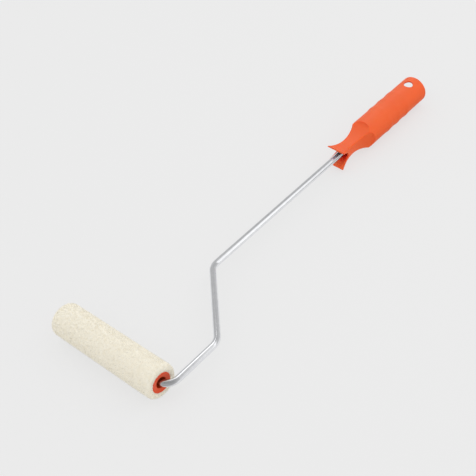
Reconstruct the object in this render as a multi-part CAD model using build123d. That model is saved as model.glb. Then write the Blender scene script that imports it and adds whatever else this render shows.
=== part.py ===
"""Mini paint roller: a fleece sleeve that turns on a cranked wire frame with a moulded handle.

Modelling frame: the sleeve turns about X, the wire frame lies in the XY plane and the handle
runs along +Y. finish() then moves every piece so that the origin is the middle of the
object's footprint, on the surface that the roller lies on. All sizes are in millimetres.
"""
from build123d import *
import os
from math import asin, cos, degrees, radians

# ------------------------------------------------------------------ driving dimensions

# Wire frame
wire_diameter = 6.0
axle_bend_radius = 10.5       # centreline radius where the wire leaves the sleeve
crank_bend_radius = 14.0      # centreline radius at both ends of the crank
crank_low = 53.9              # sleeve axis to the crank's low corner
crank_high = 112.8            # sleeve axis to the crank's high corner
bend_inset = 2.9              # the axle bend starts this far inside the cap's face
tip_chamfer = 0.8
snap_groove_width = 2.2
snap_groove_depth = 0.9
snap_groove_setback = 1.4     # plain wire left beyond the groove
anchor_length = 7.0           # squashed stretch that stops the wire turning in the handle
anchor_width = 7.8
anchor_thickness = 4.2
anchor_corner = 1.7           # rounding of the squashed stretch's long corners

# Sleeve
fleece_length = 115.0
fleece_diameter = 29.6
fleece_outer_bevel = 1.9
fleece_overhang = 0.1         # fleece standing past each cap's face
glue_gap = 0.05
core_diameter = 17.9
core_wall = 1.5

# End caps and snap bearing
flange_thickness = 1.8
spigot_length = 6.5
spigot_wall = 1.4
spigot_clearance = 0.05
dish_depth = 0.7
dish_rim_width = 1.1
cap_edge = 0.4                # bevel round the flange's outer edge
spigot_lead_in = 0.5
mouth_diameter = 9.6
mouth_depth = 6.5
journal_length = 10.0
hub_wall = 2.0
running_clearance = 0.05
cap_rib_count = 6
cap_rib_thickness = 1.2
cap_rib_setback = 1.0         # ribs end this far short of the spigot's end
bearing_disc_thickness = 3.0
finger_count = 4
finger_slot = 1.6
finger_thickness = 1.3
finger_clearance = 0.35       # radial gap between the wire and the root of a finger
bead_engagement = 0.55        # how far each finger's bead reaches into the groove
bead_play = 0.3               # axial gap on each side of the bead
tip_clearance = 0.9           # wire tip to the closed cap

# Handle
handle_offset = 5.2           # handle axis to the sleeve's middle, towards the wire
handle_start = 284.4          # sleeve axis to the handle's front rim
handle_turn = 6.5             # degrees that the handle sits turned on the wire
handle_length = 132.0
grip_diameter_front = 27.7
grip_diameter_rear = 27.2
grip_end_round = 1.3
ridge_count = 3
ridge_first = 70.1            # front rim to the first finger ridge
ridge_pitch = 14.7
ridge_width = 10.5
ridge_height = 0.45
neck_width = 11.9
neck_station = 20.2           # front rim to the thinnest part of the neck
scoop_radius = 50.0           # the four scoops between neck and grip
scoop_end = 41.4              # front rim to the end of the scoops' long arcs
shoulder_round = 6.4          # radius of the tighter arc that ends each scoop at the grip
lip_width = 18.8
lip_height = 21.4
lip_wall = 1.7                # above and below the mouth
lip_side_wall = 2.3
lip_corner = 2.0
ridge_line_round = 1.6        # rounding of the neck's four corner lines
notch_depth = 11.6
notch_bottom = 3.8            # width of the notch's bottom
notch_round = 1.4
funnel_depth = 15.0
funnel_root_share = 0.475     # corner radius at the funnel's root, as a share of its width
socket_diameter = 24.0
socket_length = 60.0
socket_taper_end = 47.5       # front rim to the inner end of the hollow
socket_inner_diameter = 21.0
boss_diameter = 11.0
boss_end = 68.0               # front rim to the rear end of the wire's boss
boss_rib_end = 62.0
boss_rib_count = 4
boss_rib_thickness = 1.8
wire_seat_clearance = 0.02
wire_end_setback = 2.0        # wire end to the open end of the boss
anchor_setback = 6.0          # anchor to the wire's end
hang_hole_diameter = 9.0
hang_hole_setback = 13.0      # hole centre to the handle's rear end
hang_hole_edge = 0.4          # bevel round the hole's outer edges
socket_chamfer = 0.5

# Modelling allowances
over = 1.0                    # cutting bodies run this far past what they cut
join = 0.3                    # ribs run this far into the walls that they meet

# ------------------------------------------------------------------ derived values

wire_radius = wire_diameter / 2
cap_face = fleece_length / 2 - fleece_overhang
reach = cap_face - bend_inset + axle_bend_radius
core_radius = core_diameter / 2
core_bore_radius = core_radius - core_wall
core_end = cap_face - flange_thickness
spigot_radius = core_bore_radius - spigot_clearance
journal_radius = wire_radius + running_clearance
hub_radius = journal_radius + hub_wall
mouth_radius = mouth_diameter / 2
mouth_hub_radius = max(hub_radius, mouth_radius + spigot_wall)
tip_x = -core_end + tip_clearance
groove_radius = wire_radius - snap_groove_depth
groove_near_tip = tip_x + snap_groove_setback
groove_far = groove_near_tip + snap_groove_width
handle_end = handle_start + handle_length
wire_end = handle_start + boss_end - wire_end_setback
anchor_end = wire_end - anchor_setback
anchor_start = anchor_end - anchor_length

# Middle of the footprint, and the lowest line of the sleeve
shift = Pos(
    -(reach + wire_radius - fleece_length / 2) / 2,
    -(handle_end - fleece_diameter / 2) / 2,
    fleece_diameter / 2,
)


# ------------------------------------------------------------------ helpers

def turned(points):
    """Solid of revolution about X from a closed outline of (x, radius) points."""
    outline = make_face(Polyline(*points, close=True))
    return revolve(outline, Axis.X)


def rod(radius, start, end):
    """Round bar on the X axis between two stations."""
    return Pos(start, 0, 0) * extrude(Plane.YZ * Circle(radius), end - start)


def bar_along_y(sketch, start, end):
    """Prism of a sketch, drawn with its own X and Y as X and Z, between two stations of Y."""
    plane = Plane(origin=(0, start, 0), x_dir=(1, 0, 0), z_dir=(0, -1, 0))
    return extrude(plane * sketch, -(end - start))


def radial_ribs(count, thickness, inner, outer, start, end):
    """Ribs round the X axis, between two radii and two stations."""
    rib = Pos((start + end) / 2, 0, (inner + outer) / 2) * Box(
        end - start, thickness, outer - inner
    )
    return [Rot(360 / count * index, 0, 0) * rib for index in range(count)]


# ------------------------------------------------------------------ wire frame

def make_wire_frame():
    """One bent steel wire: axle, side stretch, crank and handle stretch."""
    route = FilletPolyline(
        (tip_x, 0, 0),
        (reach, 0, 0),
        (reach, crank_low, 0),
        (handle_offset, crank_high, 0),
        (handle_offset, wire_end, 0),
        radius=[axle_bend_radius, crank_bend_radius, crank_bend_radius],
    )
    section = Plane(origin=(tip_x, 0, 0), z_dir=(1, 0, 0)) * Circle(wire_radius)
    wire = sweep(section, path=route)
    # snap groove and lead-in at the axle's tip
    groove = turned([
        (groove_near_tip, groove_radius), (groove_far, groove_radius),
        (groove_far + snap_groove_depth, wire_radius),
        (groove_far + snap_groove_depth, wire_radius + over),
        (groove_near_tip, wire_radius + over),
    ])
    lead_in = turned([
        (tip_x - over, wire_radius - tip_chamfer - over),
        (tip_x + tip_chamfer + over, wire_radius + over),
        (tip_x - over, wire_radius + over),
    ])
    wire = wire - groove - lead_in
    # squashed anchor, with its metal pushed out sideways
    anchor_middle = Pos(handle_offset, (anchor_start + anchor_end) / 2, 0)
    slab = anchor_middle * Box(wire_diameter * 2, anchor_length, anchor_thickness)
    stretch = anchor_middle * Box(wire_diameter * 2, anchor_length, wire_diameter * 2)
    ears = anchor_shape(0)
    return wire - (stretch - slab) + ears


def anchor_shape(clearance):
    """The squashed stretch of the wire, grown by a clearance where it is a recess."""
    section = RectangleRounded(
        anchor_width + 2 * clearance,
        anchor_thickness + 2 * clearance,
        min(anchor_corner + clearance, 0.45 * anchor_thickness),
    )
    return Pos(handle_offset, 0, 0) * bar_along_y(section, anchor_start, anchor_end)


# ------------------------------------------------------------------ sleeve

def make_sleeve_core():
    """Plastic tube between the two cap flanges."""
    return turned([
        (-core_end, core_bore_radius), (core_end, core_bore_radius),
        (core_end, core_radius), (-core_end, core_radius),
    ])


def make_fleece_cover():
    """Fleece glued round the core, as one closed ring with bevelled ends."""
    inner = core_radius + glue_gap
    outer = fleece_diameter / 2
    half = fleece_length / 2
    bevel = min(fleece_outer_bevel, 0.5 * (outer - inner))
    return turned([
        (-half, inner), (half, inner), (half, outer - bevel), (half - bevel, outer),
        (bevel - half, outer), (-half, outer - bevel),
    ])


def cap_flange():
    """Flange and spigot common to both caps, closed across the middle, on the +X side."""
    rim = core_radius - dish_rim_width
    dish_foot = cap_face - dish_depth
    spigot_end = core_end - spigot_length
    return turned([
        (core_end, 0), (dish_foot, 0), (dish_foot, mouth_radius),
        (cap_face, rim), (cap_face, core_radius - cap_edge), (cap_face - cap_edge, core_radius),
        (core_end, core_radius), (core_end, spigot_radius),
        (spigot_end + spigot_lead_in, spigot_radius),
        (spigot_end, spigot_radius - spigot_lead_in),
        (spigot_end, spigot_radius - spigot_wall), (core_end, spigot_radius - spigot_wall),
    ])


def make_near_end_cap():
    """Cap on the wire's side: an open mouth, then the bearing bore that runs on the wire."""
    mouth_end = cap_face - mouth_depth
    hub_end = mouth_end - journal_length
    hub = rod(hub_radius, hub_end, core_end)
    hub += rod(mouth_hub_radius, mouth_end - hub_wall, core_end)
    ribs = radial_ribs(
        cap_rib_count, cap_rib_thickness, hub_radius - join, spigot_radius - spigot_wall + join,
        core_end - spigot_length + cap_rib_setback, core_end,
    )
    mouth_slope = mouth_radius - journal_radius
    opening = turned([
        (hub_end - over, 0), (hub_end - over, journal_radius),
        (mouth_end - mouth_slope, journal_radius), (mouth_end, mouth_radius),
        (cap_face + over, mouth_radius), (cap_face + over, 0),
    ])
    cap = cap_flange() + hub
    for rib in ribs:
        cap += rib
    return cap - opening


def make_far_end_cap():
    """Closed cap on the free end."""
    return mirror(cap_flange(), Plane.YZ)


def make_snap_bearing():
    """Bearing inside the free end, whose fingers snap into the wire's groove."""
    disc_outer = -(core_end - spigot_length)
    disc_inner = disc_outer + bearing_disc_thickness
    journal_end = disc_inner + journal_length
    finger_inner = wire_radius + finger_clearance
    finger_outer = finger_inner + finger_thickness
    finger_tip = groove_near_tip + bead_play
    bead_radius = wire_radius - bead_engagement
    bead_back = groove_far - bead_play
    body = turned([
        (disc_outer, finger_inner), (disc_outer, spigot_radius),
        (disc_inner, spigot_radius), (disc_inner, hub_radius), (journal_end, hub_radius),
        (journal_end, journal_radius), (disc_inner, journal_radius),
    ])
    fingers = turned([
        (disc_outer + join, finger_inner), (bead_back + finger_inner - bead_radius, finger_inner),
        (bead_back, bead_radius), (finger_tip, bead_radius),
        (finger_tip, finger_outer), (disc_outer + join, finger_outer),
    ])
    slot_start = finger_tip - over
    slot = Pos((slot_start + disc_outer) / 2, 0, 0) * Box(
        disc_outer - slot_start, finger_slot, 2 * (finger_outer + over)
    )
    for index in range(finger_count // 2):
        fingers -= Rot(360 / finger_count * index, 0, 0) * slot
    return body + fingers


# ------------------------------------------------------------------ handle

def grip_radius(station):
    """Radius of the plain grip, which tapers slightly to the rear."""
    share = station / handle_length
    return (grip_diameter_front + (grip_diameter_rear - grip_diameter_front) * share) / 2


def grip_body():
    """Turned outer form of the whole handle, with its finger ridges."""
    slope = (grip_radius(handle_length) - grip_radius(0)) / handle_length
    edges = []
    last = (grip_radius(0), 0)
    for index in range(ridge_count):
        middle = ridge_first + index * ridge_pitch
        start, end = middle - ridge_width / 2, middle + ridge_width / 2
        low = (grip_radius(start), start)
        high = (grip_radius(middle) + ridge_height, middle)
        done = (grip_radius(end), end)
        edges.append(Line(last, low))
        edges.append(Spline(low, high, done, tangents=[(slope, 1), (slope, 1)]))
        last = done
    rear = (grip_radius(handle_length), handle_length)
    edges.append(Line(last, rear))
    edges.append(Polyline(rear, (0, handle_length), (0, 0), (grip_radius(0), 0)))
    body = revolve(make_face(edges), Axis.Y)
    rear_rim = body.edges().filter_by(GeomType.CIRCLE).group_by(Axis.Y)[-1]
    return fillet(rear_rim, grip_end_round)


def scoop_profile(front_half_width):
    """Outline of the handle seen square on to two of the scoops, drawn about the Y axis."""
    neck = neck_width / 2
    flare = front_half_width - neck
    front_radius = (neck_station ** 2 + flare ** 2) / (2 * flare)
    flare_angle = degrees(asin(neck_station / front_radius))
    scoop_angle = degrees(asin((scoop_end - neck_station) / scoop_radius))
    front_arc = CenterArc((neck + front_radius, neck_station), front_radius, 180, flare_angle)
    scoop = CenterArc((neck + scoop_radius, neck_station), scoop_radius, 180, -scoop_angle)
    # the tighter arc carries on in the same direction, out past the grip's surface
    scoop_corner = scoop @ 1
    round_centre = scoop_corner + (scoop % 1).rotate(Axis.Z, -90) * shoulder_round
    shoulder = CenterArc(round_centre, shoulder_round, 180 - scoop_angle, scoop_angle - 90)
    past = handle_length + over
    beyond = grip_diameter_front
    top = shoulder @ 1
    side = Polyline(
        top, (beyond, top.Y), (beyond, past), (0, past), (0, 0), (front_half_width, 0)
    )
    half = make_face([front_arc, scoop, shoulder, side])
    return half + mirror(half, Plane.YZ)


def handle_outside():
    """Grip, scooped neck and flared lips."""
    depth = grip_diameter_front
    across = extrude(scoop_profile(lip_width / 2), depth, both=True)
    upright = Rot(0, 90, 0) * extrude(scoop_profile(lip_height / 2), depth, both=True)
    return grip_body() & across & upright


def is_corner_line(edge):
    """True for the four lines where neighbouring scoops and lip faces meet."""
    box = edge.bounding_box()
    middle = box.center()
    clear = neck_width / 4
    slanted = box.size.Y > neck_station / 2 and box.max.Y < socket_taper_end
    return slanted and abs(middle.X) > clear and abs(middle.Z) > clear


def mouth_funnel():
    """Tapered hollow between the lips, down to the wire's bore."""
    deep = neck_width - 2 * lip_wall
    grow = 1 + over / funnel_depth
    wide = deep + (lip_width - 2 * lip_side_wall - deep) * grow
    high = deep + (lip_height - 2 * lip_wall - deep) * grow
    front = Plane(origin=(0, -over, 0), x_dir=(1, 0, 0), z_dir=(0, 1, 0))
    back = Plane(origin=(0, funnel_depth, 0), x_dir=(1, 0, 0), z_dir=(0, 1, 0))
    return loft([
        front * RectangleRounded(wide, high, lip_corner),
        back * RectangleRounded(deep, deep, funnel_root_share * deep),
    ])


def side_notches():
    """V-shaped notch through both sides of the mouth, with a round bottom."""
    narrow = notch_bottom / 2
    wide = narrow + (lip_height / 2 - lip_wall - narrow) * (1 + over / notch_depth)
    outline = make_face(Polyline(
        (-over, wide), (notch_depth, narrow), (notch_depth, -narrow), (-over, -wide), close=True
    ))
    bottom_corners = outline.vertices().group_by(Axis.X)[-1]
    outline = fillet(bottom_corners, notch_round)
    side = Plane(origin=(0, 0, 0), x_dir=(0, 1, 0), z_dir=(1, 0, 0))
    return extrude(side * outline, lip_width, both=True)


def rear_hollow():
    """Socket from the rear end, less the wire's boss and the ribs that hold it."""
    straight = handle_length - socket_length
    past = handle_length + over
    outline = make_face(Polyline(
        (0, socket_taper_end), (socket_inner_diameter / 2, socket_taper_end),
        (socket_diameter / 2, straight), (socket_diameter / 2, past), (0, past), close=True,
    ))
    hollow = revolve(outline, Axis.Y)
    boss = bar_along_y(Circle(boss_diameter / 2), socket_taper_end - over, boss_end)
    rib = Pos(socket_diameter / 4, (socket_taper_end + boss_rib_end) / 2, 0) * Box(
        socket_diameter / 2, boss_rib_end - socket_taper_end, boss_rib_thickness
    )
    hollow -= boss
    for index in range(boss_rib_count):
        hollow -= Rot(0, 45 + 360 / boss_rib_count * index, 0) * rib
    return hollow


def with_hang_hole(body):
    """Drills the hanging hole through both walls and bevels its outer edges."""
    station = handle_length - hang_hole_setback
    hole = Pos(0, station, 0) * Cylinder(hang_hole_diameter / 2, grip_diameter_front + 2 * over)
    drilled = body - hole
    least = grip_diameter_rear / 2 - hang_hole_diameter / 4
    outer_edges = []
    for edge in drilled.edges():
        box = edge.bounding_box()
        near = abs(box.center().Y - station) < hang_hole_diameter / 2
        if near and abs(box.center().Z) > least and box.size.X < hang_hole_diameter + over:
            outer_edges.append(edge)
    return chamfer(outer_edges, hang_hole_edge)


def make_handle():
    """Hollow moulded handle with a boss for the wire, a rear socket and a hanging hole."""
    body = handle_outside()
    corner_lines = [edge for edge in body.edges() if is_corner_line(edge)]
    body = fillet(corner_lines, ridge_line_round)
    body -= mouth_funnel()
    body -= side_notches()
    body -= rear_hollow()
    wire_bore = bar_along_y(
        Circle(wire_radius + wire_seat_clearance), funnel_depth - over, boss_end + over
    )
    socket_mouth = body.edges().filter_by(GeomType.CIRCLE).group_by(Axis.Y)[-1].sort_by(
        SortBy.RADIUS
    )[0]
    body = chamfer(socket_mouth, socket_chamfer)
    body = with_hang_hole(body - wire_bore)
    placed = Pos(handle_offset, handle_start, 0) * Rot(0, handle_turn, 0) * body
    return placed - anchor_shape(wire_seat_clearance)


# ------------------------------------------------------------------ finish

def finish(name, piece):
    """Move a piece to the part's own frame and write it."""
    export_step(shift * piece, f"parts/{name}.step")


if __name__ == "__main__":
    os.makedirs("parts", exist_ok=True)
    finish("wire_frame", make_wire_frame())
    finish("sleeve_core", make_sleeve_core())
    finish("fleece_cover", make_fleece_cover())
    finish("near_end_cap", make_near_end_cap())
    finish("far_end_cap", make_far_end_cap())
    finish("snap_bearing", make_snap_bearing())
    finish("handle", make_handle())
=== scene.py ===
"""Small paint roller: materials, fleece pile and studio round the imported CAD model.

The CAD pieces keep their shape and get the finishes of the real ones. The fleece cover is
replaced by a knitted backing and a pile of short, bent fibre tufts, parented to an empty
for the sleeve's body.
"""
import math
import random

import bmesh
import bpy
from mathutils import Matrix, Vector, noise


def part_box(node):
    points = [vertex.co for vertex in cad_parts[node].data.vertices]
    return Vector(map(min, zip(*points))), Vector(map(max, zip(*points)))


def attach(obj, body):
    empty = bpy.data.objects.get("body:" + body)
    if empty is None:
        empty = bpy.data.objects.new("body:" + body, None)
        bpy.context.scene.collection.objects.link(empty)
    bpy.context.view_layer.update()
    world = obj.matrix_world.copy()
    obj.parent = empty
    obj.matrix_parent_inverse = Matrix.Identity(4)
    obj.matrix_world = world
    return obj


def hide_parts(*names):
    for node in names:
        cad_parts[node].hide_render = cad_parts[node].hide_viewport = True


bl_info = {
    "name": "Small paint roller",
    "version": (1, 0, 0),
    "blender": (4, 5, 0),
    "location": "View3D > Sidebar > Paint Roller",
    "description": "Dresses the paint roller's CAD frame with plastics, zinc and fleece",
    "category": "Add Mesh",
}

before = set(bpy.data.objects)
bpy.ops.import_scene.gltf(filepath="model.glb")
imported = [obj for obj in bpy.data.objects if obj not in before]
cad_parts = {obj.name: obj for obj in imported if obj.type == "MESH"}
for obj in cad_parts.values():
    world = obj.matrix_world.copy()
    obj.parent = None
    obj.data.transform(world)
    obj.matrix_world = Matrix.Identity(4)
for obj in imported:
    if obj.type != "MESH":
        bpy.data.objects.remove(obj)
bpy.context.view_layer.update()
MM = 0.001

# fleece cover, beyond what its settings hold
END_ROUNDING = 3.0 * MM     # radius of the pile's outline at both ends of the sleeve
BACKING_DEPTH = 0.6 * MM    # from the cover's outside in to the backing
GLUE_GAP = 0.1 * MM         # between the core tube and the backing
SECTORS = 3                 # pieces of the pile, each under 200,000 triangles
TUFTS_ACROSS = 16           # tufts along the side of a tile
ROOT_DEPTH = 0.95           # from the cover's outside in to the roots, in tuft lengths
CLUMP_PULL = 0.25 * MM      # how far a clump draws its tips sideways
CLUMP_SWELL = 0.06 * MM     # how far a clump rises or falls
SWELL_SIZE = 2.2            # size of those rises, in clump sizes

# sockets of a Mix node that mixes colours
FACTOR, COLOUR_A, COLOUR_B, MIXED = 0, 6, 7, 2


# ------------------------------------------------------------------ settings

class RollerFinishes(bpy.types.PropertyGroup):
    handle_colour: bpy.props.StringProperty(
        name="Handle colour", description="Pigment of the polypropylene handle, sRGB hex",
        default="#EE6228")
    # painted shade and red bounce light for the handle's hollows between its lips
    hollow_shade_colour: bpy.props.StringProperty(
        name="Painted hollow shade", description="Painted shade and red bounce light deep between the handle's lips, sRGB hex",
        default="#E82000")
    cap_colour: bpy.props.StringProperty(
        name="Cap colour", description="Pigment of the two end caps, sRGB hex",
        default="#E24E1C")
    core_colour: bpy.props.StringProperty(
        name="Core colour", description="Plastic tube under the fleece, sRGB hex",
        default="#DAD9D2")
    bearing_colour: bpy.props.StringProperty(
        name="Bearing colour", description="Natural acetal of the snap bearing, sRGB hex",
        default="#EFEEE8")
    zinc_colour: bpy.props.StringProperty(
        name="Zinc colour", description="Bright zinc plating of the wire, sRGB hex",
        default="#F1F2F4")
    fleece_colour: bpy.props.StringProperty(
        name="Fleece colour", description="Undyed polyester pile, sRGB hex",
        default="#FAF6EA")
    fleece_shade: bpy.props.StringProperty(
        name="Fleece shade", description="Darker fibres deeper in the pile, sRGB hex",
        default="#F6F0E0")


class RollerFleece(bpy.types.PropertyGroup):
    tuft_spacing: bpy.props.FloatProperty(
        name="Tuft spacing", description="Mean distance between fibre tufts",
        default=0.5 * MM, min=0.3 * MM, max=2 * MM, unit="LENGTH")
    tuft_length: bpy.props.FloatProperty(
        name="Tuft length", description="Height of a tuft from its root to its tip",
        default=1.0 * MM, min=0.5 * MM, max=4 * MM, unit="LENGTH")
    tuft_width: bpy.props.FloatProperty(
        name="Tuft width", description="Width of a tuft at its root",
        default=0.52 * MM, min=0.1 * MM, max=2 * MM, unit="LENGTH")
    loose_density: bpy.props.FloatProperty(
        name="Loose fibres", description="Single fibres that stand out of the pile, per mm2",
        default=1.4, min=0.0, max=6.0)
    fibre_width: bpy.props.FloatProperty(
        name="Fibre width", description="Width of a loose fibre at its root",
        default=0.07 * MM, min=0.02 * MM, max=0.5 * MM, unit="LENGTH")
    clump_size: bpy.props.FloatProperty(
        name="Clump size", description="Size of the clumps that the tufts lean into",
        default=2.6 * MM, min=0.5 * MM, max=10 * MM, unit="LENGTH")
    softness: bpy.props.FloatProperty(
        name="Softness", description="How far the tufts' normals turn outwards",
        default=0.3, min=0.0, max=1.0, subtype="FACTOR")
    seed: bpy.props.IntProperty(
        name="Seed", description="Start of the pile's random layout", default=7, min=0)
    # at least 1, because a seed of 0 would make the noise follow the clock
    clump_seed: bpy.props.IntProperty(
        name="Clump seed", description="Start of the clumps' random layout", default=2, min=1)


class RollerStudio(bpy.types.PropertyGroup):
    view_azimuth: bpy.props.FloatProperty(
        name="Azimuth", description="Camera's side, 0 looks along +Y",
        default=math.radians(49.042), subtype="ANGLE")
    view_elevation: bpy.props.FloatProperty(
        name="Elevation", description="Camera's height above the floor's plane",
        default=math.radians(41.921), subtype="ANGLE")
    view_roll: bpy.props.FloatProperty(
        name="Roll", description="Turn of the camera about its own axis",
        default=math.radians(11.114), subtype="ANGLE")
    view_distance: bpy.props.FloatProperty(
        name="Distance", description="Camera to the aim point",
        default=0.76208, unit="LENGTH")
    view_aim: bpy.props.FloatVectorProperty(
        name="Aim", description="Point in the middle of the view",
        default=(-0.00508, -0.0498, 0.0148), subtype="TRANSLATION")
    lens: bpy.props.FloatProperty(
        name="Lens", description="Focal length on a 36 mm sensor, in millimetres",
        default=66.604)
    floor_colour: bpy.props.StringProperty(
        name="Floor colour", description="Pale studio floor, sRGB hex", default="#EBEBEB")
    world_strength: bpy.props.FloatProperty(
        name="World strength", description="Even light from all round", default=0.95)
    window_tone: bpy.props.FloatProperty(
        name="Window tone", description="Extra brightness of the strip window in metal",
        default=0.68)
    card_power: bpy.props.FloatProperty(
        name="Card", description="Power of the small card that only metal reflects",
        default=0.06)
    key_power: bpy.props.FloatProperty(
        name="Key light", description="Power of the large softbox high behind the roller",
        default=1.8)
    sheen_power: bpy.props.FloatProperty(
        name="Handle sheen", description="Power of the softbox that only gives the handle gloss",
        default=3.0)


# ------------------------------------------------------------------ small helpers

def colour(hex_text):
    """Linear RGBA from an sRGB hex value."""
    values = [int(hex_text[i:i + 2], 16) / 255 for i in (1, 3, 5)]
    linear = [v / 12.92 if v <= 0.04045 else ((v + 0.055) / 1.055) ** 2.4 for v in values]
    return (*linear, 1.0)


def add(tree, kind, inputs=None, **settings):
    """Adds a node with its settings. Each input gets a fixed value, or a link from a socket or
    from a node's first output."""
    node = tree.nodes.new(kind)
    for name, value in settings.items():
        setattr(node, name, value)
    for name, value in (inputs or {}).items():
        if isinstance(value, bpy.types.Node):
            value = value.outputs[0]
        if isinstance(value, bpy.types.NodeSocket):
            tree.links.new(value, node.inputs[name])
        else:
            node.inputs[name].default_value = value
    return node


def new_material(name):
    """Empty node material, and its tree."""
    material = bpy.data.materials.new(name)
    material.use_nodes = True
    material.node_tree.nodes.clear()
    return material, material.node_tree


def new_object(name, data):
    """Object in the scene for a mesh, a light or a camera."""
    obj = bpy.data.objects.new(name, data)
    bpy.context.scene.collection.objects.link(obj)
    return obj


def knit_normals(mesh, limit=math.radians(12)):
    """Shares the normals of corners that meet in one place at less than a limit's angle, so that
    seams don't show in gloss."""
    places = {}
    for face in mesh.polygons:
        for loop in face.loop_indices:
            co = mesh.vertices[mesh.loops[loop].vertex_index].co
            # places are told apart to a ten-thousandth of a millimetre
            place = tuple(round(c, 7) for c in co)
            places.setdefault(place, []).append((loop, face.area))
    normals = [corner.vector.copy() for corner in mesh.corner_normals]
    knitted = []
    for corners in places.values():
        for loop, _ in corners:
            total = Vector()
            for other, area in corners:
                if normals[other].dot(normals[loop]) > math.cos(limit):
                    total += normals[other] * area
            knitted.append((loop, total.normalized()))
    knitted.sort(key=lambda corner: corner[0])
    mesh.normals_split_custom_set([normal for _, normal in knitted])


def dress(node, material):
    """Gives a CAD node one material, and normals without seams."""
    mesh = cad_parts[node].data
    knit_normals(mesh)
    mesh.materials.clear()
    mesh.materials.append(material)


def piece_from(bm, name, materials, body, smooth=True):
    """Turns a bmesh into a finished object that rides on a CAD body."""
    for face in bm.faces:
        face.smooth = smooth
    mesh = bpy.data.meshes.new(name)
    bm.to_mesh(mesh)
    bm.free()
    for material in materials:
        mesh.materials.append(material)
    obj = new_object(name, mesh)
    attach(obj, body)
    return obj


# ------------------------------------------------------------------ materials

def deeper(tone, shares):
    """Colour with its red, green and blue cut to shares of what they were."""
    return (*(level * share for level, share in zip(tone, shares)), 1.0)


def cloudy_tone(tree, place, spacing, tones, stops=(0.3, 0.7), detail=3.0, roughness=0.5):
    """Colour that drifts in soft clouds, a spacing apart, between a deep and a pale tone."""
    cloud = add(tree, "ShaderNodeTexNoise",
                {"Vector": place, "Scale": 1 / spacing, "Detail": detail,
                 "Roughness": roughness})
    drift = add(tree, "ShaderNodeValToRGB", {"Fac": cloud})
    for element, position, tone in zip(drift.color_ramp.elements, stops, tones):
        element.position = position
        element.color = tone
    return drift.outputs["Color"]


def mould_grain(tree, place, strength, depth):
    """Spark-eroded mould texture, with 0.25 mm between its grains: coarser than the real one,
    so that it shows."""
    grain = add(tree, "ShaderNodeTexNoise",
                {"Vector": place, "Scale": 1 / (0.25 * MM), "Detail": 2.0})
    return add(tree, "ShaderNodeBump", {"Height": grain, "Strength": strength,
                                        "Distance": depth}).outputs["Normal"]


def painted_hollow_light(tree, tone, deep):
    """Painted bounce light and shade: a redder colour deep between the lips, where ambient
    occlusion finds them facing each other, as they light each other. Polished metal sees a
    painted reflection of them: dark inside and pale towards the open."""
    reach = 14 * MM
    mirrored = add(tree, "ShaderNodeLightPath").outputs["Is Glossy Ray"]
    openness = add(tree, "ShaderNodeAmbientOcclusion", {"Distance": reach},
                   samples=8, only_local=True).outputs["AO"]
    outside = add(tree, "ShaderNodeMapRange",
                  {"Value": openness, "From Min": 0.5, "From Max": 1.0})
    direct = add(tree, "ShaderNodeMix",
                 {FACTOR: outside, COLOUR_A: colour(deep), COLOUR_B: tone},
                 data_type="RGBA").outputs[MIXED]
    # for the painted reflection other pieces count in this occlusion too, as the wire itself
    # darkens what it mirrors
    clearance = add(tree, "ShaderNodeAmbientOcclusion", {"Distance": reach},
                    samples=8).outputs["AO"]
    far_out = add(tree, "ShaderNodeMapRange",
                  {"Value": clearance, "From Min": 0.45, "From Max": 0.8})
    painted_reflection_tone = add(tree, "ShaderNodeMix",
                   {FACTOR: far_out, COLOUR_A: (0.03, 0.03, 0.03, 1),
                    COLOUR_B: (0.75, 0.62, 0.68, 1)}, data_type="RGBA").outputs[MIXED]
    return add(tree, "ShaderNodeMix",
               {FACTOR: mirrored, COLOUR_A: direct, COLOUR_B: painted_reflection_tone},
               data_type="RGBA").outputs[MIXED]


def handle_polypropylene(pigment, hollow_shade):
    """Injection-moulded polypropylene: satin, faintly waxy, with a fine mould texture."""
    material, tree = new_material("moulded_polypropylene_orange")
    place = add(tree, "ShaderNodeTexCoord").outputs["Object"]
    # flow marks of the pigment, about 22 mm apart
    base = colour(pigment)
    tone = cloudy_tone(tree, place, 22.2 * MM, (deeper(base, (0.97, 0.93, 0.9)), base),
                       roughness=0.55)
    # handling leaves some places a little glossier
    rub = add(tree, "ShaderNodeTexNoise",
              {"Vector": place, "Scale": 1 / (11.1 * MM), "Detail": 4.0})
    gloss = add(tree, "ShaderNodeMapRange",
                {"Value": rub, "From Min": 0.3, "From Max": 0.7, "To Min": 0.45,
                 "To Max": 0.55})
    # its base colour carries painted shade and bounce light in the hollows between the lips, and
    # their painted reflection in metal
    shader = add(tree, "ShaderNodeBsdfPrincipled",
                 {"Base Color": painted_hollow_light(tree, tone, hollow_shade), "Roughness": gloss,
                  "Normal": mould_grain(tree, place, 0.12, 0.06 * MM),
                  "IOR": 1.49, "Specular IOR Level": 0.35,
                  "Subsurface Weight": 0.3, "Subsurface Scale": 2 * MM,
                  "Subsurface Radius": (1.0, 0.25, 0.08)})
    add(tree, "ShaderNodeOutputMaterial", {"Surface": shader})
    return material


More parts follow.
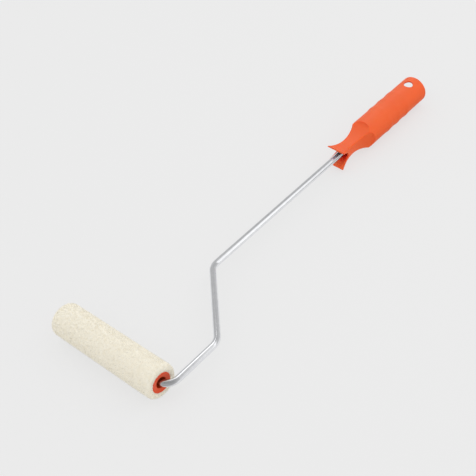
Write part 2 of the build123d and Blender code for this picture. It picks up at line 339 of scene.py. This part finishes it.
def cap_polypropylene(pigment):
    """The same resin moulded into the caps: slightly redder and glossier than the handle."""
    material, tree = new_material("moulded_polypropylene_cap")
    place = add(tree, "ShaderNodeTexCoord").outputs["Object"]
    base = colour(pigment)
    tone = cloudy_tone(tree, place, 6.25 * MM, (deeper(base, (0.9, 0.8, 0.8)), base))
    # painted shade in reflections: polished metal sees the caps at half their brightness,
    # standing in for the near cap's shaded side
    mirrored = add(tree, "ShaderNodeLightPath").outputs["Is Glossy Ray"]
    painted_shade_in_metal = add(tree, "ShaderNodeMix",
               {FACTOR: mirrored, COLOUR_A: tone, COLOUR_B: (0.5, 0.5, 0.5, 1)},
               data_type="RGBA", blend_type="MULTIPLY").outputs[MIXED]
    shader = add(tree, "ShaderNodeBsdfPrincipled",
                 {"Base Color": painted_shade_in_metal, "Normal": mould_grain(tree, place, 0.1, 0.05 * MM),
                  "Roughness": 0.42, "IOR": 1.49, "Specular IOR Level": 0.35})
    add(tree, "ShaderNodeOutputMaterial", {"Surface": shader})
    return material


def plain_moulding(name, pigment, roughness):
    """Unpigmented plastic of the pieces inside the sleeve: milky, and smooth from its mould."""
    material, tree = new_material(name)
    place = add(tree, "ShaderNodeTexCoord").outputs["Object"]
    base = colour(pigment)
    tone = cloudy_tone(tree, place, 4.55 * MM, (deeper(base, (0.92, 0.92, 0.9)), base))
    shader = add(tree, "ShaderNodeBsdfPrincipled",
                 {"Base Color": tone, "Roughness": roughness, "IOR": 1.48})
    add(tree, "ShaderNodeOutputMaterial", {"Surface": shader})
    return material


def bright_zinc(tint):
    """Drawn steel wire, electroplated with bright zinc: lengthwise drawing lines, soft gloss."""
    material, tree = new_material("bright_zinc_plated_wire")
    place = add(tree, "ShaderNodeTexCoord").outputs["Object"]
    # drawing lines that run along the wire's long stretches, 0.4 mm apart and 25 mm long:
    # coarser than the real ones, so that they show
    along = add(tree, "ShaderNodeMapping",
                {"Vector": place,
                 "Scale": (1 / (0.4 * MM), 1 / (25 * MM), 1 / (0.4 * MM))})
    lines = add(tree, "ShaderNodeTexNoise", {"Vector": along, "Scale": 1.0, "Detail": 2.0})
    # clouds in the plating, some 4 mm apart, and duller where it is thinner
    spacing = 3.85 * MM
    base = colour(tint)
    tone = cloudy_tone(tree, place, spacing, (deeper(base, (0.93, 0.93, 0.94)), base),
                       stops=(0.35, 0.65), detail=4.0)
    cloud = add(tree, "ShaderNodeTexNoise",
                {"Vector": place, "Scale": 1 / spacing, "Detail": 4.0})
    worn = add(tree, "ShaderNodeMix", {"Factor": 0.45, "A": lines, "B": cloud},
               data_type="FLOAT")
    gloss = add(tree, "ShaderNodeMapRange",
                {"Value": worn, "From Min": 0.3, "From Max": 0.7, "To Min": 0.11,
                 "To Max": 0.15})
    bump = add(tree, "ShaderNodeBump",
               {"Height": lines, "Strength": 0.012, "Distance": 0.02 * MM})
    shader = add(tree, "ShaderNodeBsdfPrincipled",
                 {"Base Color": tone, "Roughness": gloss, "Normal": bump, "Metallic": 1.0})
    add(tree, "ShaderNodeOutputMaterial", {"Surface": shader})
    return material


def polyester_fleece(pale, shade):
    """Short sliver-knit polyester pile: matt, with soft sheen and shade between the clumps."""
    material, tree = new_material("sliver_knit_polyester_fleece")
    place = add(tree, "ShaderNodeTexCoord").outputs["Object"]
    # clumps of fibres somewhat over 2 mm apart, and single tufts inside them
    tone = cloudy_tone(tree, place, 2.38 * MM, (colour(shade), colour(pale)),
                       stops=(0.3, 0.62), detail=4.0, roughness=0.6)
    shader = add(tree, "ShaderNodeBsdfPrincipled",
                 {"Base Color": tone, "Roughness": 0.95, "IOR": 1.45,
                  "Specular IOR Level": 0.2, "Sheen Weight": 0.25,
                  "Sheen Roughness": 0.5})
    add(tree, "ShaderNodeOutputMaterial", {"Surface": shader})
    return material


def loose_fibre(pale):
    """Single polyester fibres: fine enough to let most of the light past and through."""
    material, tree = new_material("loose_polyester_fibre")
    tone = colour(pale)
    front = add(tree, "ShaderNodeBsdfDiffuse", {"Color": tone})
    through = add(tree, "ShaderNodeBsdfTranslucent", {"Color": tone})
    lit = add(tree, "ShaderNodeMixShader", {"Fac": 0.5, 1: front, 2: through})
    gap = add(tree, "ShaderNodeBsdfTransparent")
    both = add(tree, "ShaderNodeMixShader", {"Fac": 0.3, 1: gap, 2: lit})
    add(tree, "ShaderNodeOutputMaterial", {"Surface": both})
    return material


# ------------------------------------------------------------------ studio surroundings

def graded_levels(tree, place, rows):
    """Levels that change along the axes of a place or a direction. Each row holds a name, an
    axis, how the change runs, where it starts and ends, and the levels before and after."""
    axes = add(tree, "ShaderNodeSeparateXYZ", {"Vector": place})
    levels = {}
    for name, axis, run, start, end, before, after in rows:
        levels[name] = add(tree, "ShaderNodeMapRange",
                           {"Value": axes.outputs[axis], "From Min": start,
                            "From Max": end, "To Min": before, "To Max": after},
                           interpolation_type=run)
    return levels


def seamless_paper(tone):
    """Matt, pale paper sweep: it keeps a soft shadow, and shows at its own colour because it
    glows towards the camera and towards metal. What metal sees of it carries painted shade:
    darker in front of the sleeve, and a painted dark patch to the right of the handle."""
    material, tree = new_material("pale_seamless_paper")
    place = add(tree, "ShaderNodeTexCoord").outputs["Object"]
    rays = add(tree, "ShaderNodeLightPath")
    levels = graded_levels(tree, place, (
        # painted shade: polished metal sees the paper darker in front of the sleeve
        ("front", "Y", "LINEAR", -0.235, -0.195, 0.25, 1.0),
        # and a painted dark patch to the right of the handle
        ("beside", "X", "SMOOTHSTEP", 0.0, 0.03, 0.0, 1.0),
        ("along", "Y", "SMOOTHSTEP", 0.10, 0.125, 0.0, 1.0)))
    # the painted dark patch lies where both masks meet, and only metal sees it
    glossy_only_patch = add(tree, "ShaderNodeMath", {0: levels["beside"], 1: levels["along"]},
               operation="MULTIPLY")
    outside_painted_patch = add(tree, "ShaderNodeMapRange", {"Value": glossy_only_patch, "To Min": 1.0, "To Max": 0.15},
                    interpolation_type="SMOOTHSTEP")
    mirrored = add(tree, "ShaderNodeMath", {0: levels["front"], 1: outside_painted_patch},
                   operation="MULTIPLY")
    level = add(tree, "ShaderNodeMix",
                {"Factor": rays.outputs["Is Glossy Ray"], "A": 1.0,
                 "B": mirrored}, data_type="FLOAT")
    matt = add(tree, "ShaderNodeBsdfDiffuse", {"Color": tone})
    glow = add(tree, "ShaderNodeEmission", {"Color": tone, "Strength": level})
    direct = add(tree, "ShaderNodeMath",
                 {0: rays.outputs["Is Camera Ray"], 1: rays.outputs["Is Glossy Ray"]},
                 operation="MAXIMUM")
    shown = add(tree, "ShaderNodeMath", {0: direct, 1: rays.outputs["Is Transmission Ray"]},
                operation="MAXIMUM")
    share = add(tree, "ShaderNodeMath", {0: shown, 1: 0.8}, operation="MULTIPLY")
    both = add(tree, "ShaderNodeMixShader", {"Fac": share, 1: matt, 2: glow})
    add(tree, "ShaderNodeOutputMaterial", {"Surface": both})
    return material


def studio_world(paper, strength, window_tone):
    """Even light from all round. The camera sees the paper's colour past its edge, and polished
    metal sees a grey room with one long window."""
    world = bpy.data.worlds.new("studio_light")
    world.use_nodes = True
    tree = world.node_tree
    tree.nodes.clear()
    white = (1, 1, 1, 1)
    rays = add(tree, "ShaderNodeLightPath")
    aim = add(tree, "ShaderNodeTexCoord").outputs["Generated"]
    levels = graded_levels(tree, aim, (
        # walls that are darker in front of the roller, and a pale haze towards the horizon
        ("wall", "Y", "SMOOTHSTEP", -0.6, 0.4, 0.27, 0.46),
        ("haze", "Z", "SMOOTHSTEP", 0.0, 1.0, 0.15, 0.0),
        # the window lies behind the roller and ends on the left
        ("behind", "Y", "SMOOTHSTEP", 0.26, 0.52, 0.0, 1.0),
        ("from_left", "X", "SMOOTHSTEP", -0.7, -0.52, 0.0, 1.0),
        # and only its right part reaches far back
        ("not_far_back", "Y", "SMOOTHSTEP", 0.4, 0.47, 1.0, 0.0),
        ("right_part", "X", "SMOOTHSTEP", -0.2, 0.5, 0.0, 1.0)))
    # it runs along a tilted circle of directions, given by the circle's normal and offset
    across = add(tree, "ShaderNodeVectorMath", {0: aim, 1: Vector((0.255, -0.906, 0.337))},
                 operation="DOT_PRODUCT").outputs["Value"]
    offset = add(tree, "ShaderNodeMath", {0: across, 1: 0.084}, operation="ADD")
    off_circle = add(tree, "ShaderNodeMath", {0: offset}, operation="ABSOLUTE")
    window = add(tree, "ShaderNodeMapRange",
                 {"Value": off_circle, "From Min": 0.045, "From Max": 0.27,
                  "To Min": window_tone, "To Max": 0.0}, interpolation_type="SMOOTHSTEP")
    reach = add(tree, "ShaderNodeMath",
                {0: levels["not_far_back"], 1: levels["right_part"]}, operation="MAXIMUM")
    for limit in (levels["behind"], levels["from_left"], reach):
        window = add(tree, "ShaderNodeMath", {0: window, 1: limit}, operation="MULTIPLY")
    walls = add(tree, "ShaderNodeMath", {0: levels["wall"], 1: levels["haze"]},
                operation="ADD")
    level = add(tree, "ShaderNodeMath", {0: window, 1: walls}, operation="ADD")
    light = add(tree, "ShaderNodeBackground", {"Color": white, "Strength": strength})
    room = add(tree, "ShaderNodeBackground", {"Color": white, "Strength": level})
    beyond = add(tree, "ShaderNodeBackground", {"Color": paper, "Strength": 1.0})
    both = add(tree, "ShaderNodeMixShader",
               {"Fac": rays.outputs["Is Glossy Ray"], 1: light, 2: room})
    shown = add(tree, "ShaderNodeMixShader",
                {"Fac": rays.outputs["Is Camera Ray"], 1: both, 2: beyond})
    add(tree, "ShaderNodeOutputWorld", {"Surface": shown})
    return world


# ------------------------------------------------------------------ fleece

class SleeveForm:
    """The fleece cover's outside, as a height h over a flat strip of u along and v round."""

    def __init__(self):
        low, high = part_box("fleece_cover")
        core_low, core_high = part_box("sleeve_core")
        self.middle = (low + high) / 2
        self.half = (high.x - low.x) / 2
        self.radius = (high.z - low.z) / 2
        self.inner = (core_high.z - core_low.z) / 2
        self.corner = END_ROUNDING
        self.face = self.radius - self.corner - self.inner
        self.arc = self.corner * math.pi / 2
        self.straight = 2 * (self.half - self.corner)
        self.length = 2 * (self.face + self.arc) + self.straight
        self.girth = 2 * math.pi * self.radius

    def point(self, u, v, h):
        """Place of a point that lies u along the outline, v round the sleeve and h over it."""
        side = 1 if u > self.length / 2 else -1
        along = min(u, self.length - u)
        if along < self.face:
            across, out = Vector((self.half, self.inner + along)), Vector((1, 0))
        elif along < self.face + self.arc:
            turn = (along - self.face) / self.corner
            out = Vector((math.cos(turn), math.sin(turn)))
            centre = Vector((self.half - self.corner, self.radius - self.corner))
            across = centre + out * self.corner
        else:
            out = Vector((0, 1))
            across = Vector((self.half - self.corner - (along - self.face - self.arc),
                             self.radius))
        across = across + out * h
        angle = v / self.radius
        return self.middle + Vector((side * across.x, across.y * math.sin(angle),
                                     across.y * math.cos(angle)))

    def outward(self, place):
        """Direction straight out of the sleeve's rounded outline at a place near it."""
        radial = place - self.middle
        x, radial.x = radial.x, 0.0
        flat = self.half - self.corner
        past = x - max(-flat, min(x, flat))
        reach = max(radial.length - (self.radius - self.corner), 0.0)
        return (Vector((past, 0, 0)) + radial.normalized() * reach).normalized()


def fixed_order(element):
    """Number of an edge or a face that follows from its corners' own numbers alone."""
    numbers = [v.index for v in element.verts]
    return min(numbers) * 1e6 + max(numbers)


def backing(form):
    """Closed ring of dense pile under the tufts, with rounded ends."""
    bm = bmesh.new()
    inner = form.inner + GLUE_GAP
    outer = form.radius - BACKING_DEPTH
    half = form.half - BACKING_DEPTH
    corners = [bm.verts.new((x, 0, r)) for x, r in (
        (-half, inner), (half, inner), (half, outer), (-half, outer))]
    for corner, following in zip(corners, corners[1:] + corners[:1]):
        bm.edges.new((corner, following))
    bmesh.ops.bevel(bm, geom=corners[2:], offset=form.corner - BACKING_DEPTH, segments=5,
                    affect="VERTICES", profile=0.5, material=-1)
    long_edges = [e for e in bm.edges if e.calc_length() > form.half]
    bmesh.ops.subdivide_edges(bm, edges=long_edges, cuts=60)
    bmesh.ops.spin(bm, geom=bm.verts[:] + bm.edges[:], cent=(0, 0, 0), axis=(1, 0, 0),
                   dvec=(0, 0, 0), angle=2 * math.pi, steps=96, use_merge=True)
    bmesh.ops.remove_doubles(bm, verts=bm.verts, dist=0.01 * MM)
    bmesh.ops.recalc_face_normals(bm, faces=bm.faces)
    # spin numbers its edges and faces anew in each run, so both are put in a fixed order
    bm.verts.index_update()
    for sequence in (bm.edges, bm.faces):
        sequence.sort(key=fixed_order)
    bmesh.ops.translate(bm, verts=bm.verts, vec=form.middle)
    return bm


def tuft_shape(bm):
    """Tuft one unit wide and high, which swells half way up and bends over at its tip."""
    bmesh.ops.create_cone(bm, cap_ends=True, segments=3, radius1=0.5, radius2=0.0,
                          depth=1.0, matrix=Matrix.Translation((0, 0, 0.5)))
    sides = [e for e in bm.edges if any(v.co.z > 0.5 for v in e.verts)]
    bmesh.ops.subdivide_edges(bm, edges=sides, cuts=1)
    swelling, middle_bend, tip_bend = 1.5, 0.3, 1.6
    for v in bm.verts:
        if 0.2 < v.co.z < 0.8:
            v.co.x = v.co.x * swelling + middle_bend
            v.co.y *= swelling
        elif v.co.z > 0.8:
            v.co.x += tip_bend


def fibre_shape(bm):
    """Straight tapered fibre, one unit wide at its root and one unit high."""
    bmesh.ops.create_cone(bm, cap_ends=True, segments=3, radius1=0.5, radius2=0.0,
                          depth=1.0, matrix=Matrix.Translation((0, 0, 0.5)))


def scatter(shape, count, side, widths, heights, rng):
    """Copies of a shape in random places on a square tile, each turned and leaning."""
    most_lean = 0.35
    bm = bmesh.new()
    shape(bm)
    template = bm.verts[:] + bm.edges[:] + bm.faces[:]
    for _ in range(count):
        copy = bmesh.ops.duplicate(bm, geom=template)["geom"]
        verts = [g for g in copy if isinstance(g, bmesh.types.BMVert)]
        width, height = rng.uniform(*widths), rng.uniform(*heights)
        size = Matrix.Diagonal((width, width, height, 1))
        turn = Matrix.Rotation(rng.uniform(0, 2 * math.pi), 4, "Z")
        lean = Matrix.Rotation(rng.uniform(-most_lean, most_lean), 4, "X")
        bmesh.ops.transform(bm, matrix=lean @ turn @ size, verts=verts)
        spot = Vector((rng.uniform(-0.5, 0.5), rng.uniform(-0.5, 0.5), 0))
        bmesh.ops.translate(bm, verts=verts, vec=spot * side)
    bmesh.ops.delete(bm, geom=[g for g in template if isinstance(g, bmesh.types.BMVert)],
                     context="VERTS")
    return bm


def pile_tile(side, settings, rng):
    """Square tile of the pile: dense tufts and a few longer loose fibres."""
    width, length = settings.tuft_width, settings.tuft_length
    tufts = round((side / settings.tuft_spacing) ** 2)
    bm = scatter(tuft_shape, tufts, side, (0.75 * width, 1.2 * width),
                 (0.7 * length, 1.12 * length), rng)
    fibres = round(settings.loose_density * (side / MM) ** 2)
    fine = settings.fibre_width
    loose = scatter(fibre_shape, fibres, side, (0.7 * fine, 1.3 * fine),
                    (1.3 * length, 2.2 * length), rng)
    mesh = bpy.data.meshes.new("loose_fibres")
    for face in loose.faces:
        face.material_index = 1
    loose.to_mesh(mesh)
    loose.free()
    bm.from_mesh(mesh)
    bpy.data.meshes.remove(mesh)
    return bm


def pile_sector(form, settings, part, rng):
    """One of the equal sectors of the pile, tiled flat and then wrapped round the sleeve."""
    tile_size = TUFTS_ACROSS * settings.tuft_spacing
    tile = pile_tile(tile_size, settings, rng)
    width = form.girth / SECTORS
    rows = round(form.length / tile_size)
    columns = round(width / tile_size)
    step_u, step_v = form.length / rows, width / columns
    stretch = Matrix.Diagonal((step_u / tile_size, step_v / tile_size, 1, 1))
    template = tile.verts[:] + tile.edges[:] + tile.faces[:]
    for row in range(rows):
        for column in range(columns):
            copy = bmesh.ops.duplicate(tile, geom=template)["geom"]
            verts = [g for g in copy if isinstance(g, bmesh.types.BMVert)]
            quarter = Matrix.Rotation(rng.randrange(4) * math.pi / 2, 4, "Z")
            place = Matrix.Translation(((row + 0.5) * step_u, (column + 0.5) * step_v, 0))
            bmesh.ops.transform(tile, matrix=place @ stretch @ quarter, verts=verts)
    bmesh.ops.delete(tile, geom=[g for g in template if isinstance(g, bmesh.types.BMVert)],
                     context="VERTS")
    for v in tile.verts:
        u = min(max(v.co.x, 0.0), form.length)
        around = part * width + v.co.y
        height = v.co.z
        spot = form.point(u, around, 0)
        pull = noise.noise_vector(spot / settings.clump_size) * CLUMP_PULL
        swell = noise.noise(spot / (SWELL_SIZE * settings.clump_size)) * CLUMP_SWELL
        share = height / settings.tuft_length
        u = min(max(u + pull.x * share, 0.0), form.length)
        v.co = form.point(u, around + pull.y * share,
                          height - ROOT_DEPTH * settings.tuft_length + swell)
    return tile


def blend_normals(mesh, form, share):
    """Turns the tufts' normals part of the way outwards, as fine fibres scatter the light."""
    normals = [None] * len(mesh.loops)
    for face in mesh.polygons:
        for loop in face.loop_indices:
            place = mesh.vertices[mesh.loops[loop].vertex_index].co
            normals[loop] = face.normal.lerp(form.outward(place), share).normalized()
    mesh.normals_split_custom_set(normals)


# ------------------------------------------------------------------ operators

class ROLLER_OT_handle(bpy.types.Operator):
    """Finish the moulded handle"""
    bl_idname = "roller.handle"
    bl_label = "Handle"

    def execute(self, context):
        finishes = context.scene.roller_finishes
        dress("handle", handle_polypropylene(finishes.handle_colour, finishes.hollow_shade_colour))
        return {"FINISHED"}


class ROLLER_OT_wire(bpy.types.Operator):
    """Finish the zinc-plated wire frame"""
    bl_idname = "roller.wire"
    bl_label = "Wire frame"

    def execute(self, context):
        finishes = context.scene.roller_finishes
        dress("wire_frame", bright_zinc(finishes.zinc_colour))
        return {"FINISHED"}


class ROLLER_OT_sleeve_plastics(bpy.types.Operator):
    """Finish the caps, the core tube and the snap bearing"""
    bl_idname = "roller.sleeve_plastics"
    bl_label = "Sleeve plastics"

    def execute(self, context):
        finishes = context.scene.roller_finishes
        cap = cap_polypropylene(finishes.cap_colour)
        dress("near_end_cap", cap)
        dress("far_end_cap", cap)
        dress("sleeve_core", plain_moulding("extruded_polypropylene_tube",
                                            finishes.core_colour, 0.5))
        dress("snap_bearing", plain_moulding("moulded_acetal_bearing",
                                             finishes.bearing_colour, 0.35))
        return {"FINISHED"}


class ROLLER_OT_fleece(bpy.types.Operator):
    """Build the fleece cover's backing and pile"""
    bl_idname = "roller.fleece"
    bl_label = "Fleece cover"

    def execute(self, context):
        finishes = context.scene.roller_finishes
        settings = context.scene.roller_fleece
        rng = random.Random(settings.seed)
        noise.seed_set(settings.clump_seed)
        material = polyester_fleece(finishes.fleece_colour, finishes.fleece_shade)
        form = SleeveForm()
        fibre = loose_fibre(finishes.fleece_colour)
        base = piece_from(backing(form), "fleece_backing", [material], "sleeve")
        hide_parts("fleece_cover")
        for part in range(SECTORS):
            pile = piece_from(pile_sector(form, settings, part, rng),
                              f"fleece_pile_{part + 1}", [material, fibre], "sleeve",
                              smooth=False)
            blend_normals(pile.data, form, settings.softness)
        return {"FINISHED"}


class ROLLER_OT_studio(bpy.types.Operator):
    """Set up the pale floor, soft lights and camera"""
    bl_idname = "roller.studio"
    bl_label = "Studio"

    def execute(self, context):
        studio = context.scene.roller_studio
        paper = colour(studio.floor_colour)
        self.floor(paper)
        context.scene.world = studio_world(paper, studio.world_strength, studio.window_tone)
        aim = Vector(studio.view_aim)
        softbox = (0.9, 0.9)
        key = self.panel_light("key_softbox", aim + Vector((0.4, 0.75, 0.95)), aim,
                               softbox, studio.key_power)
        key.visible_glossy = False
        # small card close over the sleeve's wire, seen only in polished metal
        spot = Vector((-0.07, -0.055, 0.3))
        glossy_only_patch = self.panel_light("reflector_card", spot, spot - Vector((0, 0, 1)),
                                (0.20, 0.13), studio.card_power)
        glossy_only_patch.visible_diffuse = False
        # softbox behind and over the handle, which lays a pale sheen on its upper side
        low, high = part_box("handle")
        grip = (low + high) / 2
        sheen = self.panel_light("sheen_softbox", grip + Vector((-0.463, 0.586, 0.937)), grip,
                                 softbox, studio.sheen_power)
        sheen.visible_diffuse = False
        receivers = bpy.data.collections.new("sheen_receivers")
        receivers.objects.link(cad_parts["handle"])
        sheen.light_linking.receiver_collection = receivers
        self.camera(context.scene, studio, aim)
        context.scene.view_settings.view_transform = "Standard"
        return {"FINISHED"}

    def floor(self, paper):
        """Large square of paper that the roller lies on."""
        bm = bmesh.new()
        bmesh.ops.create_grid(bm, x_segments=1, y_segments=1, size=6.0)
        mesh = bpy.data.meshes.new("studio_floor")
        bm.to_mesh(mesh)
        bm.free()
        obj = new_object("studio_floor", mesh)
        mesh.materials.append(seamless_paper(paper))

    def panel_light(self, name, place, aim, size, power):
        """Flat rectangular light that faces its aim point and hides from the camera."""
        data = bpy.data.lights.new(name, "AREA")
        data.shape = "RECTANGLE"
        data.size, data.size_y = size
        data.energy = power
        obj = new_object(name, data)
        obj.location = place
        obj.rotation_euler = (place - aim).to_track_quat("Z", "Y").to_euler()
        obj.visible_camera = False
        return obj

    def camera(self, scene, studio, aim):
        """Camera that looks at its aim point from the view's angles, rolled about its axis."""
        data = bpy.data.cameras.new("camera")
        data.lens = studio.lens
        data.sensor_width = 36
        data.clip_start = 10 * MM
        obj = new_object("camera", data)
        azimuth, elevation = studio.view_azimuth, studio.view_elevation
        back = Vector((math.sin(azimuth) * math.cos(elevation),
                       -math.cos(azimuth) * math.cos(elevation), math.sin(elevation)))
        level = Vector((0, 0, 1)).cross(back).normalized()
        upright = back.cross(level)
        up = upright * math.cos(studio.view_roll) + level * math.sin(studio.view_roll)
        right = up.cross(back)
        turn = Matrix((right, up, back)).transposed()
        obj.matrix_world = Matrix.Translation(aim + back * studio.view_distance) @ turn.to_4x4()
        scene.camera = obj


class ROLLER_PT_panel(bpy.types.Panel):
    """Lists the roller's pieces and the stage"""
    bl_idname = "ROLLER_PT_panel"
    bl_label = "Paint Roller"
    bl_space_type = "VIEW_3D"
    bl_region_type = "UI"
    bl_category = "Paint Roller"

    def draw(self, context):
        for operator in OPERATORS:
            self.layout.operator(operator.bl_idname)


GROUPS = (RollerFinishes, RollerFleece, RollerStudio)
OPERATORS = (ROLLER_OT_handle, ROLLER_OT_wire, ROLLER_OT_sleeve_plastics, ROLLER_OT_fleece,
             ROLLER_OT_studio)


def register():
    for cls in GROUPS + OPERATORS + (ROLLER_PT_panel,):
        bpy.utils.register_class(cls)
    bpy.types.Scene.roller_finishes = bpy.props.PointerProperty(type=RollerFinishes)
    bpy.types.Scene.roller_fleece = bpy.props.PointerProperty(type=RollerFleece)
    bpy.types.Scene.roller_studio = bpy.props.PointerProperty(type=RollerStudio)


def unregister():
    del bpy.types.Scene.roller_studio
    del bpy.types.Scene.roller_fleece
    del bpy.types.Scene.roller_finishes
    for cls in reversed(GROUPS + OPERATORS + (ROLLER_PT_panel,)):
        bpy.utils.unregister_class(cls)


def main():
    register()
    bpy.ops.roller.handle()
    bpy.ops.roller.wire()
    bpy.ops.roller.sleeve_plastics()
    bpy.ops.roller.fleece()
    bpy.ops.roller.studio()


if __name__ == "__main__":
    main()
